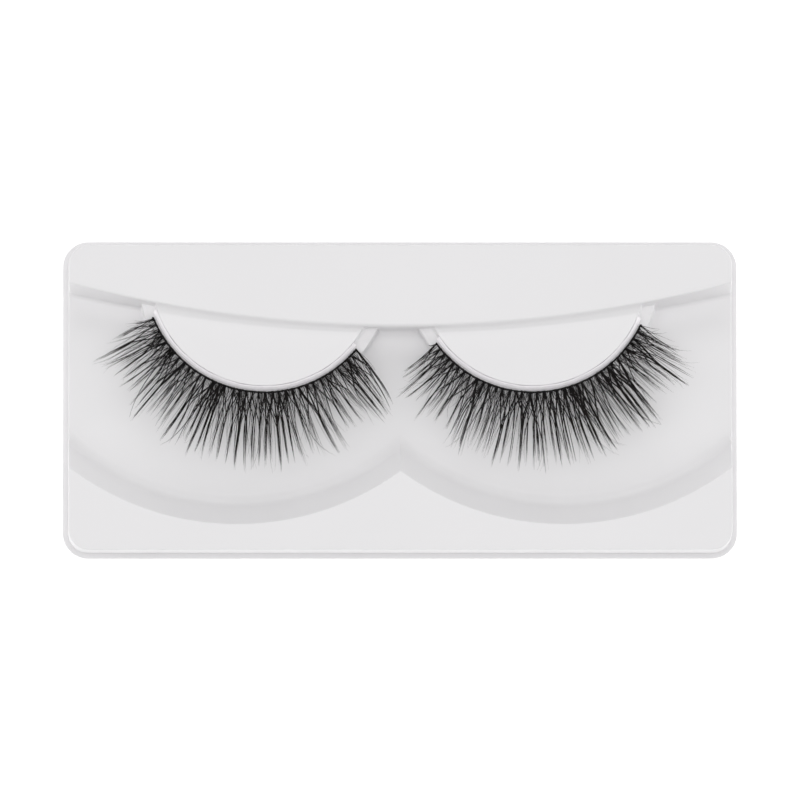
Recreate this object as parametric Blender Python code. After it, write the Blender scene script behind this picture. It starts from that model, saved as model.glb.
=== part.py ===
# A pair of false eyelash strips on a thermoformed plastic tray, in metres, +Z up.
# The origin is under the middle of the tray, on the surface that it stands on.
# The back deck lies at +Y, and the lashes reach towards -Y.
import math
from collections import namedtuple

import bmesh
import bpy

MM = 0.001

# Tray outline and sheet
TRAY_LENGTH = 105.0 * MM
TRAY_WIDTH = 49.4 * MM
TRAY_HEIGHT = 8.0 * MM
SHEET = 0.45 * MM
FLANGE_WIDTH = 0.85 * MM
FOOT_CORNER = 3.1 * MM
WALL_LEAN = 0.2 * MM
DECK_EDGE_ROUND = 0.5 * MM
INNER_ROUND_SHARE = 0.5

# Recess between the two decks, right through from end to end
FLOOR_HEIGHT = 2.8 * MM
BACK_DECK_DEPTH = 12.3 * MM
BACK_STEP_RADIUS = 206.0 * MM
BACK_STEP_RUN = 1.25 * MM
BACK_STEP_END_RUN = 2.3 * MM
BACK_CREST_ROUND = 0.7 * MM
BACK_FOOT_ROUND = 0.5 * MM
FRONT_DECK_DEPTH = 4.05 * MM
SCALLOP_DEPTH = 8.25 * MM
SCALLOP_CENTRE_SHARE = 0.49
FRONT_SLOPE_RUN = 5.0 * MM
FRONT_CREST_ROUND = 0.25 * MM
FRONT_FOOT_ROUND = 2.8 * MM

# Half-moon bosses that carry the strips
BOSS_RADIUS = 17.6 * MM
BOSS_REACH = 9.65 * MM
BOSS_PAIR_OFFSET = -0.28 * MM
BOSS_DROP = 1.0 * MM
BOSS_LEAN = 0.1 * MM
BOSS_EDGE_ROUND = 0.35 * MM
LEDGE_WIDTH = 2.0 * MM
LEDGE_DROP = 1.4 * MM
LEDGE_LEAN = 0.3 * MM

# Clear strip bands, each on a ledge and against its boss
SEAT_GAP = 0.25 * MM
BAND_THICKNESS = 0.25 * MM
BAND_HEIGHT = 0.9 * MM
BAND_OUTER_MARGIN = 0.3 * MM
BAND_INNER_MARGIN = 0.95 * MM
STRIP_SLIDE = 1.2 * MM

# Lashes
HAIR_OUTER_INSET = 1.1 * MM
HAIR_INNER_INSET = 0.6 * MM
ROOT_DEPTH = 0.9 * MM
ROOT_THICKNESS = 0.6 * MM
LASH_REACH = 12.4 * MM
LASH_THICKNESS = 0.46 * MM
LASH_TIP = 0.16 * MM
LASH_MIDDLE_GAP = 1.1 * MM
INNER_LASH_SHARE = 0.54
ROOT_TILT = math.radians(-7.0)
TIP_TILT = math.radians(42.0)

# Smoothness of the round stretches
CORNER_STEPS = 6
EDGE_STEPS = 3
TIER_EDGE_STEPS = 2
STEP_ARC_STEPS = 22
SCALLOP_STEPS = 22
BOSS_STEPS = 26
BAND_STEPS = 30
LOCK_STEPS = 5
OUTER_WALL_LEVELS = (0.0, 0.02, 0.07, 0.15, 0.25, 0.5, 0.8, 0.92, 0.975, 1.0)
INNER_WALL_LEVELS = (0.0, 0.07, 0.25, 0.6, 0.92, 1.0)

# Places that follow from the sizes
HALF_LENGTH = TRAY_LENGTH / 2 - FLANGE_WIDTH
HALF_WIDTH = TRAY_WIDTH / 2 - FLANGE_WIDTH
RECESS_DEPTH = TRAY_HEIGHT - FLOOR_HEIGHT
STEP_CREST_Y = HALF_WIDTH - BACK_DECK_DEPTH
STEP_CENTRE_Y = STEP_CREST_Y + BACK_STEP_RADIUS
SCALLOP_X = HALF_LENGTH * SCALLOP_CENTRE_SHARE
SCALLOP_RADIUS = (SCALLOP_X ** 2 + SCALLOP_DEPTH ** 2) / (2 * SCALLOP_DEPTH)
SCALLOP_Y = -HALF_WIDTH + FRONT_DECK_DEPTH + SCALLOP_RADIUS
LEDGE_RADIUS = BOSS_RADIUS + LEDGE_WIDTH
BOSS_TOP = TRAY_HEIGHT - BOSS_DROP
LEDGE_TOP = BOSS_TOP - LEDGE_DROP
BOSS_Y = STEP_CREST_Y - BOSS_REACH + BOSS_RADIUS
BAND_RADIUS = BOSS_RADIUS + BOSS_LEAN + SEAT_GAP
BAND_FOOT = LEDGE_TOP + SEAT_GAP
ROOT_RADIUS = BAND_RADIUS + BAND_THICKNESS + SEAT_GAP
ROOT_HEIGHT = LEDGE_TOP + SEAT_GAP + ROOT_THICKNESS / 2

# The bosses stand so far apart that the inner lashes stay clear of one another
INNER_WALL_ANGLE = math.acos(
    (BOSS_RADIUS - BOSS_REACH + BACK_STEP_RUN + SEAT_GAP) / (BAND_RADIUS + BAND_THICKNESS)
)
INNER_LASH_ANGLE = INNER_WALL_ANGLE - (BAND_INNER_MARGIN + HAIR_INNER_INSET) / ROOT_RADIUS
INNER_LASH_RADIUS = ROOT_RADIUS + INNER_LASH_SHARE * LASH_REACH
BOSS_X = INNER_LASH_RADIUS * math.sin(INNER_LASH_ANGLE) + LASH_MIDDLE_GAP / 2

# Locks from the outer end of each strip to the inner end: root and tip are places along the hair
# line, reach is a share of LASH_REACH, and width a share of the even spacing of the locks.
Lock = namedtuple("Lock", "root tip reach width")

LEFT_LOCKS = [
    Lock(0.012, 0.015, 0.58, 1.3),
    Lock(0.050, 0.048, 0.90, 1.5),
    Lock(0.085, 0.085, 0.69, 1.3),
    Lock(0.110, 0.108, 0.80, 1.2),
    Lock(0.136, 0.136, 0.82, 1.3),
    Lock(0.160, 0.161, 0.77, 1.3),
    Lock(0.188, 0.190, 0.88, 1.4),
    Lock(0.212, 0.218, 1.03, 1.8),
    Lock(0.242, 0.246, 0.84, 1.3),
    Lock(0.272, 0.278, 0.92, 1.4),
    Lock(0.302, 0.303, 0.99, 1.5),
    Lock(0.328, 0.330, 0.96, 1.4),
    Lock(0.352, 0.354, 0.90, 1.3),
    Lock(0.374, 0.376, 1.03, 1.7),
    Lock(0.398, 0.398, 0.94, 1.3),
    Lock(0.414, 0.417, 1.00, 1.5),
    Lock(0.440, 0.453, 0.97, 1.5),
    Lock(0.474, 0.478, 0.97, 1.4),
    Lock(0.498, 0.502, 1.02, 1.7),
    Lock(0.524, 0.530, 1.05, 1.5),
    Lock(0.556, 0.556, 0.98, 1.5),
    Lock(0.584, 0.583, 0.94, 1.4),
    Lock(0.614, 0.616, 1.03, 1.7),
    Lock(0.644, 0.646, 0.95, 1.4),
    Lock(0.672, 0.681, 0.99, 1.3),
    Lock(0.700, 0.704, 0.90, 1.3),
    Lock(0.726, 0.728, 0.94, 1.3),
    Lock(0.756, 0.765, 0.98, 1.5),
    Lock(0.784, 0.792, 0.98, 1.3),
    Lock(0.814, 0.816, 0.76, 1.3),
    Lock(0.842, 0.846, 0.78, 1.3),
    Lock(0.872, 0.876, 0.72, 1.3),
    Lock(0.904, 0.904, 0.92, 1.5),
    Lock(0.936, 0.940, 0.86, 1.4),
    Lock(0.978, 0.960, 0.52, 1.3),
]

RIGHT_LOCKS = [
    Lock(0.014, 0.024, 0.60, 1.4),
    Lock(0.048, 0.050, 0.62, 1.2),
    Lock(0.078, 0.062, 0.86, 1.4),
    Lock(0.098, 0.088, 0.92, 1.5),
    Lock(0.124, 0.121, 0.83, 1.3),
    Lock(0.150, 0.142, 0.78, 1.3),
    Lock(0.180, 0.175, 0.78, 1.3),
    Lock(0.204, 0.203, 1.00, 1.5),
    Lock(0.230, 0.226, 0.99, 1.6),
    Lock(0.256, 0.252, 0.94, 1.4),
    Lock(0.284, 0.282, 0.89, 1.4),
    Lock(0.312, 0.303, 0.90, 1.3),
    Lock(0.344, 0.331, 1.00, 1.7),
    Lock(0.368, 0.364, 1.00, 1.6),
    Lock(0.394, 0.390, 1.02, 1.4),
    Lock(0.418, 0.414, 0.92, 1.4),
    Lock(0.448, 0.447, 1.01, 1.5),
    Lock(0.474, 0.472, 1.00, 1.7),
    Lock(0.500, 0.512, 0.98, 1.3),
    Lock(0.528, 0.531, 0.98, 1.5),
    Lock(0.552, 0.545, 1.00, 1.4),
    Lock(0.580, 0.580, 1.03, 1.5),
    Lock(0.606, 0.608, 0.98, 1.4),
    Lock(0.634, 0.647, 1.03, 1.7),
    Lock(0.662, 0.665, 0.93, 1.4),
    Lock(0.692, 0.693, 0.91, 1.4),
    Lock(0.722, 0.719, 0.90, 1.4),
    Lock(0.752, 0.737, 1.02, 1.5),
    Lock(0.780, 0.773, 0.88, 1.4),
    Lock(0.810, 0.810, 0.79, 1.4),
    Lock(0.842, 0.860, 0.80, 1.4),
    Lock(0.874, 0.876, 0.90, 1.4),
    Lock(0.912, 0.925, 0.79, 1.5),
    Lock(0.944, 0.947, 0.83, 1.3),
    Lock(0.982, 0.978, 0.62, 1.3),
]


def clear_scene():
    for scene_object in list(bpy.data.objects):
        bpy.data.objects.remove(scene_object, do_unlink=True)


def principled(name, colour, roughness, transmission=0.0):
    material = bpy.data.materials.new(name)
    material.use_nodes = True
    shader = material.node_tree.nodes["Principled BSDF"]
    shader.inputs["Base Color"].default_value = (*colour, 1.0)
    shader.inputs["Roughness"].default_value = roughness
    shader.inputs["Metallic"].default_value = 0.0
    shader.inputs["Transmission Weight"].default_value = transmission
    return material


# Mesh helpers

def add_object(name, work_mesh):
    bmesh.ops.recalc_face_normals(work_mesh, faces=work_mesh.faces)
    mesh = bpy.data.meshes.new(name)
    work_mesh.to_mesh(mesh)
    work_mesh.free()
    new_object = bpy.data.objects.new(name, mesh)
    bpy.context.collection.objects.link(new_object)
    return new_object


def add_loft(work_mesh, rings):
    # A closed body through rings of equal length, with a flat cap at each end
    rows = [[work_mesh.verts.new(point) for point in ring] for ring in rings]
    count = len(rows[0])
    for lower, upper in zip(rows, rows[1:]):
        for i in range(count):
            j = (i + 1) % count
            work_mesh.faces.new((lower[i], lower[j], upper[j], upper[i]))
    work_mesh.faces.new(rows[0][::-1])
    work_mesh.faces.new(rows[-1])


def loft_object(name, rings):
    work_mesh = bmesh.new()
    add_loft(work_mesh, rings)
    return add_object(name, work_mesh)


def combine(target, tool, operation, self_crossing=False):
    # Applies one exact Boolean to the target and removes the tool
    modifier = target.modifiers.new(operation.title(), "BOOLEAN")
    modifier.operation = operation
    modifier.solver = "EXACT"
    modifier.use_self = self_crossing
    modifier.object = tool
    depsgraph = bpy.context.evaluated_depsgraph_get()
    result = bpy.data.meshes.new_from_object(target.evaluated_get(depsgraph))
    target.modifiers.clear()
    target.data = result
    bpy.data.objects.remove(tool, do_unlink=True)


def finish(target, material, sharp_angle):
    target.data.materials.clear()
    target.data.materials.append(material)
    target.data.shade_smooth()
    target.data.set_sharp_from_angle(angle=sharp_angle)


# Tray outline

def rounded_rectangle(half_x, half_y, corner, height):
    points = []
    for quarter, (sign_x, sign_y) in enumerate(((1, 1), (-1, 1), (-1, -1), (1, -1))):
        for step in range(CORNER_STEPS + 1):
            turn = math.pi / 2 * (quarter + step / CORNER_STEPS)
            x = sign_x * (half_x - corner) + corner * math.cos(turn)
            y = sign_y * (half_y - corner) + corner * math.sin(turn)
            points.append((x, y, height))
    return points


def block_ring(inset, height):
    return rounded_rectangle(HALF_LENGTH - inset, HALF_WIDTH - inset, FOOT_CORNER - inset, height)


def block_rings(skin, foot):
    # The tray as a full block, each face moved inwards by skin, from the foot up to the deck
    top = TRAY_HEIGHT - skin
    edge = DECK_EDGE_ROUND * (INNER_ROUND_SHARE if skin else 1.0)
    rings = [block_ring(skin, foot)]
    for step in range(EDGE_STEPS + 1):
        turn = math.pi / 2 * step / EDGE_STEPS
        inset = skin + WALL_LEAN + edge * (1 - math.cos(turn))
        rings.append(block_ring(inset, top - edge * (1 - math.sin(turn))))
    return rings


def flange_rings():
    corner = FOOT_CORNER + FLANGE_WIDTH
    outer = (TRAY_LENGTH / 2, TRAY_WIDTH / 2, corner)
    return [rounded_rectangle(*outer, 0.0), rounded_rectangle(*outer, SHEET)]


# Recess

def wall_slope(run, crest_round, foot_round):
    # Angle from the floor of the straight part between the two rounds
    both = crest_round + foot_round
    rise = RECESS_DEPTH - both
    return math.acos(-both / math.hypot(rise, run)) - math.atan2(run, rise)


def wall_outset(height, run, crest_round, foot_round):
    # How far the wall stands out from its crest line, at a height above the recess floor
    slope = wall_slope(run, crest_round, foot_round)
    below_crest = RECESS_DEPTH - height
    crest_fall = crest_round * (1 - math.cos(slope))
    foot_rise = foot_round * (1 - math.cos(slope))
    if below_crest <= crest_fall:
        return crest_round * math.sin(math.acos(1 - below_crest / crest_round))
    if height <= foot_rise:
        return run - foot_round * math.sin(math.acos(1 - height / foot_round))
    straight = (below_crest - crest_fall) * math.cos(slope) / math.sin(slope)
    return crest_round * math.sin(slope) + straight


def back_run(x):
    # The back step is steep in the middle and leans more towards the ends
    share = min(abs(x) / HALF_LENGTH, 1.0) ** 2
    return BACK_STEP_RUN + (BACK_STEP_END_RUN - BACK_STEP_RUN) * share


def back_crest_y(x):
    return STEP_CENTRE_Y - math.sqrt(BACK_STEP_RADIUS ** 2 - x * x)


def skin_shift(slope, skin):
    # Sideways move that keeps the sheet even where floor and deck both move down by skin
    return skin * math.tan(slope / 2)


def back_wall_points(height, skin, end_x, level):
    points = []
    for step in range(STEP_ARC_STEPS + 1):
        x = end_x * (1 - 2 * step / STEP_ARC_STEPS)
        run = back_run(x)
        outset = wall_outset(height, run, BACK_CREST_ROUND, BACK_FOOT_ROUND)
        shift = skin_shift(wall_slope(run, BACK_CREST_ROUND, BACK_FOOT_ROUND), skin)
        points.append((x, back_crest_y(x) - outset + shift, level))
    return points


def scallop_points(height, skin, end_x, level):
    # Two arcs that meet in a cusp in the middle, from the left end to the right end
    slope = wall_slope(FRONT_SLOPE_RUN, FRONT_CREST_ROUND, FRONT_FOOT_ROUND)
    outset = wall_outset(height, FRONT_SLOPE_RUN, FRONT_CREST_ROUND, FRONT_FOOT_ROUND)
    radius = SCALLOP_RADIUS - outset + skin_shift(slope, skin)
    outer_turn = -math.asin((end_x - SCALLOP_X) / radius)
    inner_turn = math.asin(SCALLOP_X / radius)
    left = []
    for step in range(SCALLOP_STEPS + 1):
        turn = outer_turn + (inner_turn - outer_turn) * step / SCALLOP_STEPS
        x = -SCALLOP_X + radius * math.sin(turn)
        left.append((x, SCALLOP_Y - radius * math.cos(turn), level))
    right = [(-x, y, level) for x, y, level in reversed(left[:-1])]
    return left + right


def recess_rings(skin, levels):
    # The space cut from the block, past both ends and up past the deck
    end_x = TRAY_LENGTH / 2 + SHEET
    rings = []
    for share in levels:
        height = RECESS_DEPTH * share
        level = FLOOR_HEIGHT - skin + height
        front = scallop_points(height, skin, end_x, level)
        rings.append(front + back_wall_points(height, skin, end_x, level))
    rings.append([(x, y, TRAY_HEIGHT + SHEET) for x, y, _ in rings[-1]])
    return rings


# Bosses and everything that lies round them

def boss_point(side, angle, radius, height):
    # Angles are measured at the boss centre from straight forward, positive towards the middle
    return (
        side * (BOSS_X - radius * math.sin(angle)) + BOSS_PAIR_OFFSET,
        BOSS_Y - radius * math.cos(angle),
        height,
    )


def crossing_angle(radius, direction, forward):
    # Where a circle round the boss comes to a line that far in front of the back crest
    clear = 0.0
    crossed = direction * math.pi / 2
    for _ in range(40):
        angle = (clear + crossed) / 2
        x, y, _ = boss_point(1, angle, radius, 0.0)
        if y < back_crest_y(x) - forward:
            clear = angle
        else:
            crossed = angle
    return clear


def arc_points(side, start, end, radius, height):
    return [
        boss_point(side, start + (end - start) * step / BOSS_STEPS, radius, height)
        for step in range(BOSS_STEPS + 1)
    ]


def tier_rings(side, radius, lean, top):
    # One half-moon tier, whose chord lies hidden in the back deck
    start = crossing_angle(radius, -1, -2 * SHEET)
    end = crossing_angle(radius, 1, -2 * SHEET)
    rings = [arc_points(side, start, end, radius + lean, FLOOR_HEIGHT / 2)]
    for step in range(TIER_EDGE_STEPS + 1):
        turn = math.pi / 2 * step / TIER_EDGE_STEPS
        inset = BOSS_EDGE_ROUND * (1 - math.cos(turn))
        level = top - BOSS_EDGE_ROUND * (1 - math.sin(turn))
        rings.append(arc_points(side, start, end, radius - inset, level))
    return rings


def tray_form(name, skin, foot, levels):
    # The solid tray, each face moved inwards by skin
    form = loft_object(name, block_rings(skin, foot))
    combine(form, loft_object("recess", recess_rings(skin, levels)), "DIFFERENCE")
    for side in (-1, 1):
        ledge = tier_rings(side, LEDGE_RADIUS - skin, LEDGE_LEAN, LEDGE_TOP - skin)
        combine(form, loft_object("ledge", ledge), "UNION")
        boss = tier_rings(side, BOSS_RADIUS - skin, BOSS_LEAN, BOSS_TOP - skin)
        combine(form, loft_object("boss", boss), "UNION")
    return form


def make_tray(material):
    tray = tray_form("tray", 0.0, 0.0, OUTER_WALL_LEVELS)
    combine(tray, loft_object("flange", flange_rings()), "UNION")
    combine(tray, tray_form("inside", SHEET, -SHEET, INNER_WALL_LEVELS), "DIFFERENCE")
    finish(tray, material, math.radians(35))


# Strips

Strip = namedtuple("Strip", "name side outer_slide inner_slide locks")

STRIPS = [
    Strip("left", -1, 0.0, STRIP_SLIDE, LEFT_LOCKS),
    Strip("right", 1, STRIP_SLIDE, 0.0, RIGHT_LOCKS),
]


def band_angles(strip):
    reach = BAND_RADIUS + BAND_THICKNESS
    wall_run = back_run(BOSS_X + reach)
    height = BAND_FOOT - FLOOR_HEIGHT
    outset = wall_outset(height, wall_run, BACK_CREST_ROUND, BACK_FOOT_ROUND)
    outer_wall = crossing_angle(reach, -1, outset + SEAT_GAP)
    start = outer_wall + (BAND_OUTER_MARGIN + strip.outer_slide) / reach
    end = INNER_WALL_ANGLE - (BAND_INNER_MARGIN + strip.inner_slide) / reach
    return start, end


def hair_angles(strip):
    start, end = band_angles(strip)
    return start + HAIR_OUTER_INSET / ROOT_RADIUS, end - HAIR_INNER_INSET / ROOT_RADIUS


def bar_rings(side, start, end, inner, outer, low, high):
    # A bar of square section bent round the boss, one ring for each step
    rings = []
    for step in range(BAND_STEPS + 1):
        angle = start + (end - start) * step / BAND_STEPS
        corners = ((inner, low), (outer, low), (outer, high), (inner, high))
        rings.append([boss_point(side, angle, radius, height) for radius, height in corners])
    return rings


def make_band(strip, material):
    start, end = band_angles(strip)
    outer = BAND_RADIUS + BAND_THICKNESS
    rings = bar_rings(strip.side, start, end, BAND_RADIUS, outer, BAND_FOOT, BAND_FOOT + BAND_HEIGHT)
    finish(loft_object(strip.name + "_band", rings), material, math.radians(40))


def curl(share):
    # Reach and rise of a lash whose tilt turns evenly from root to tip, as shares of its full reach
    sweep = TIP_TILT - ROOT_TILT
    tilt = ROOT_TILT + sweep * share
    full = math.sin(TIP_TILT) - math.sin(ROOT_TILT)
    reach = (math.sin(tilt) - math.sin(ROOT_TILT)) / full
    rise = (math.cos(ROOT_TILT) - math.cos(tilt)) / full
    return reach, rise, tilt


def lock_rings(strip, lock, spacing):
    # A lock of lashes as a flat spike, widest at the root
    start, end = hair_angles(strip)
    root = start + (end - start) * lock.root
    tip = start + (end - start) * lock.tip
    reach = LASH_REACH * lock.reach
    root_radius = ROOT_RADIUS + ROOT_DEPTH / 3
    rings = []
    for step in range(LOCK_STEPS + 1):
        share = step / LOCK_STEPS
        along, rise, tilt = curl(share)
        angle = root + (tip - root) * share
        width = spacing * lock.width * (1 - share) + LASH_TIP * share
        thickness = LASH_THICKNESS * (1 - share) + LASH_TIP * share
        radius = root_radius + (reach - ROOT_DEPTH / 3) * along
        height = ROOT_HEIGHT + reach * rise
        half_turn = width / 2 / radius
        lift = thickness / 2 * math.cos(tilt)
        pull = thickness / 2 * math.sin(tilt)
        rings.append([
            boss_point(strip.side, angle - half_turn, radius, height),
            boss_point(strip.side, angle, radius + pull, height - lift),
            boss_point(strip.side, angle + half_turn, radius, height),
            boss_point(strip.side, angle, radius - pull, height + lift),
        ])
    return rings


def make_fringe(strip, material):
    start, end = hair_angles(strip)
    low = ROOT_HEIGHT - ROOT_THICKNESS / 2
    outer = ROOT_RADIUS + ROOT_DEPTH
    root_bar = bar_rings(strip.side, start, end, ROOT_RADIUS, outer, low, low + ROOT_THICKNESS)
    spacing = ROOT_RADIUS * (end - start) / len(strip.locks)
    work_mesh = bmesh.new()
    for lock in strip.locks:
        add_loft(work_mesh, lock_rings(strip, lock, spacing))
    fringe = add_object(strip.name + "_fringe", work_mesh)
    combine(fringe, loft_object("root_bar", root_bar), "UNION", self_crossing=True)
    finish(fringe, material, math.radians(50))


def main():
    clear_scene()
    make_tray(principled("white_plastic", (0.72, 0.72, 0.71), 0.32))
    clear_band = principled("clear_band", (0.82, 0.82, 0.80), 0.3, transmission=0.6)
    lash_fibre = principled("lash_fibre", (0.012, 0.010, 0.010), 0.45)
    for strip in STRIPS:
        make_band(strip, clear_band)
        make_fringe(strip, lash_fibre)


main()
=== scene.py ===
# Looks for the pair of false eyelash strips on their moulded tray
import math
import random

import bmesh
import bpy
from mathutils import Matrix, Vector


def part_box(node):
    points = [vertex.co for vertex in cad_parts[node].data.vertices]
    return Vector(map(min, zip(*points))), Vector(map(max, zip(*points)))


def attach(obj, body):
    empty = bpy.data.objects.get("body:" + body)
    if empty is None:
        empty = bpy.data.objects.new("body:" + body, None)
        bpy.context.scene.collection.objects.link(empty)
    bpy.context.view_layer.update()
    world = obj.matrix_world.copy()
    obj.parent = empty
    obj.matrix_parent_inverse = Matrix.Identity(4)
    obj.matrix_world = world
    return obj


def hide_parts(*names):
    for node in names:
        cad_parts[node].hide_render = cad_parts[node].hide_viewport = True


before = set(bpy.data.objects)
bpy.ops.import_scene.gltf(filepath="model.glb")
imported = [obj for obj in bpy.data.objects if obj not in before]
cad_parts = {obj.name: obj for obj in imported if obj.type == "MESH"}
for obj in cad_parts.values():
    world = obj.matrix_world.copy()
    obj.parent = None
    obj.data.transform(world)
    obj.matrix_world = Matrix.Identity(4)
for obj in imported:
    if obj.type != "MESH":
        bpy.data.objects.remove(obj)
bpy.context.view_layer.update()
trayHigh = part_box("tray")[1]
bodyName = "root"
mm = 0.001
tiny = 0.00001  # a size or a height that counts as none
samePlace = 0.000001  # points closer than this become one
print("frame loaded")


# Everyday steps

def clearSelection():
    if bpy.context.object and bpy.context.object.mode != "OBJECT":
        bpy.ops.object.mode_set(mode="OBJECT")
    bpy.ops.object.select_all(action="DESELECT")


def makeActive(piece):
    clearSelection()
    piece.select_set(True)
    bpy.context.view_layer.objects.active = piece


def openEdit(piece, mode="VERT"):
    makeActive(piece)
    bpy.ops.object.mode_set(mode="EDIT")
    bpy.ops.mesh.select_mode(type=mode)
    bpy.ops.mesh.select_all(action="DESELECT")


def closeEdit():
    bpy.ops.object.mode_set(mode="OBJECT")


def selectWhere(piece, kind, test):
    # Selects the vertices, edges or faces of the open mesh that pass the test
    work = bmesh.from_edit_mesh(piece.data)
    for part in getattr(work, kind):
        part.select_set(test(part))
    work.select_flush_mode()
    bmesh.update_edit_mesh(piece.data)


def settle(piece):
    makeActive(piece)
    bpy.ops.object.transform_apply(location=True, rotation=True, scale=True)


def cleanSolid(piece):
    openEdit(piece)
    bpy.ops.mesh.select_all(action="SELECT")
    bpy.ops.mesh.remove_doubles(threshold=samePlace)
    bpy.ops.mesh.normals_make_consistent(inside=False)
    closeEdit()


def useBoolean(piece, tool, operation):
    makeActive(piece)
    cut = piece.modifiers.new("cut", "BOOLEAN")
    cut.operation = operation
    cut.solver = "EXACT"
    cut.object = tool
    bpy.ops.object.modifier_apply(modifier=cut.name)
    bpy.data.objects.remove(tool, do_unlink=True)


def drawProfile(name, points):
    # A chain of edges, extruded point by point
    clearSelection()
    bpy.ops.mesh.primitive_plane_add(size=tiny, location=points[0])
    profile = bpy.context.object
    profile.name = name
    settle(profile)
    openEdit(profile)
    bpy.ops.mesh.select_all(action="SELECT")
    bpy.ops.mesh.merge(type="CENTER")
    for before, after in zip(points, points[1:]):
        step = Vector(after) - Vector(before)
        bpy.ops.mesh.extrude_vertices_move(TRANSFORM_OT_translate={"value": step})
    closeEdit()
    return profile


def spinProfile(profile, centre, sweep, steps):
    openEdit(profile)
    bpy.ops.mesh.select_all(action="SELECT")
    bpy.ops.mesh.spin(steps=steps, angle=sweep, center=centre, axis=(0, 0, 1))
    bpy.ops.mesh.select_all(action="SELECT")
    bpy.ops.mesh.remove_doubles(threshold=samePlace)
    bpy.ops.mesh.fill_holes(sides=0)
    bpy.ops.mesh.normals_make_consistent(inside=False)
    closeEdit()


# Tray

trayPlan = {
    "sheet": 0.45 * mm,
    "flange": 0.85 * mm,
    "footCorner": 3.1 * mm,
    "wallLean": 0.2 * mm,
    "edgeRound": 0.18 * mm,
    "floor": 2.8 * mm,
    "backDeck": 12.3 * mm,
    "stepRadius": 206.0 * mm,
    "stepMiddle": (1.25 * mm, 0.7 * mm, 0.5 * mm),  # run, crest round and foot round of the step
    "stepEnd": (2.2 * mm, 0.3 * mm, 0.8 * mm),
    "sweepMiddle": (1.75 * mm, 0.7 * mm),  # run and crest round of the soft step down to the bosses
    "sweepEnd": (2.5 * mm, 0.3 * mm),
    "frontDeck": 4.05 * mm,
    "scallopDepth": 8.25 * mm,
    "scallopCentre": 0.49,
    "slopeRun": 5.0 * mm,
    "slopeCrest": 0.25 * mm,
    "slopeFoot": 2.6 * mm,
    "bossApart": 20.87 * mm,
    "bossAside": -0.28 * mm,
    "bossRadius": 17.6 * mm,
    "bossReach": 9.65 * mm,
    "bossDrop": 1.0 * mm,
    "bossLean": 0.1 * mm,
    "bossRound": 0.08 * mm,
    "ledgeWidth": 2.0 * mm,
    "ledgeDrop": 1.4 * mm,
    "ledgeLean": 0.25 * mm,
    "cove": 0.35 * mm,
    "flangeLean": 0.05 * mm,
    "spare": 2 * mm,  # how far a cutting shape runs past the faces it cuts
    "backReach": 30 * mm,
    "endReach": 3.3 * mm,  # how far the shapes along the step run past the side walls
    "sweepSink": 0.015 * mm,  # the soft step ends this far below the top of a boss
    "sweepLap": 0.1 * mm,
    "sweepKeel": 0.6 * mm,
    "limitHeight": 20 * mm,
    "wallSlack": 0.4 * mm,
    "wallFacing": 0.9,
    "rimDepth": 0.5 * mm,
    "endZone": 0.7 * mm,  # near the side walls points are joined over a wider gap
    "endGap": 0.1 * mm,
    "shellGap": 0.02 * mm,
    "lastGap": 0.003 * mm,
    "flatTurn": math.radians(0.05),
    "smoothTurn": math.radians(32),
    "cornerSteps": 14,
    "edgeSteps": 3,
    "roundSteps": 4,
    "scallopSteps": 300,
    "bossSteps": 240,
    "stepSteps": 72,
}

halfLength = trayHigh.x - trayPlan["flange"]
halfWidth = trayHigh.y - trayPlan["flange"]
deckTop = trayHigh.z
recessDepth = deckTop - trayPlan["floor"]
crestY = halfWidth - trayPlan["backDeck"]
stepY = crestY + trayPlan["stepRadius"]
scallopX = halfLength * trayPlan["scallopCentre"]
scallopRadius = (scallopX ** 2 + trayPlan["scallopDepth"] ** 2) / (2 * trayPlan["scallopDepth"])
scallopY = -halfWidth + trayPlan["frontDeck"] + scallopRadius
bossX = {side: side * trayPlan["bossApart"] + trayPlan["bossAside"] for side in (-1, 1)}
bossY = crestY - trayPlan["bossReach"] + trayPlan["bossRadius"]
bossTop = deckTop - trayPlan["bossDrop"]
ledgeTop = bossTop - trayPlan["ledgeDrop"]


def roundedBlock(name, halfX, halfY, corner, low, high, lean):
    clearSelection()
    size = (2 * halfX, 2 * halfY, high - low)
    bpy.ops.mesh.primitive_cube_add(size=1, location=(0, 0, (low + high) / 2), scale=size)
    block = bpy.context.object
    block.name = name
    settle(block)
    openEdit(block, "EDGE")
    selectWhere(block, "edges", lambda e: abs(e.verts[0].co.z - e.verts[1].co.z) > tiny)
    bpy.ops.mesh.bevel(offset=corner, segments=trayPlan["cornerSteps"], affect="EDGES")
    bpy.ops.mesh.select_mode(type="VERT")
    selectWhere(block, "verts", lambda v: v.co.z > (low + high) / 2)
    shrink = ((halfX - lean) / halfX, (halfY - lean) / halfY, 1)
    bpy.ops.transform.resize(value=shrink, center_override=(0, 0, high))
    closeEdit()
    return block


def wallSlope(run, crest, foot):
    rise = recessDepth - crest - foot
    return math.acos(-(crest + foot) / math.hypot(rise, run)) - math.atan2(run, rise)


def wallPoints(run, crest, foot):
    # Outset and height of a leaning wall with a round at crest and foot, from the crest down
    slope = wallSlope(run, crest, foot)
    steps = trayPlan["roundSteps"]
    turns = [slope * k / steps for k in range(steps + 1)]
    upper = [(crest * math.sin(t), recessDepth - crest * (1 - math.cos(t))) for t in turns]
    lower = [(run - foot * math.sin(t), foot * (1 - math.cos(t))) for t in reversed(turns)]
    return upper + lower


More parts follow.
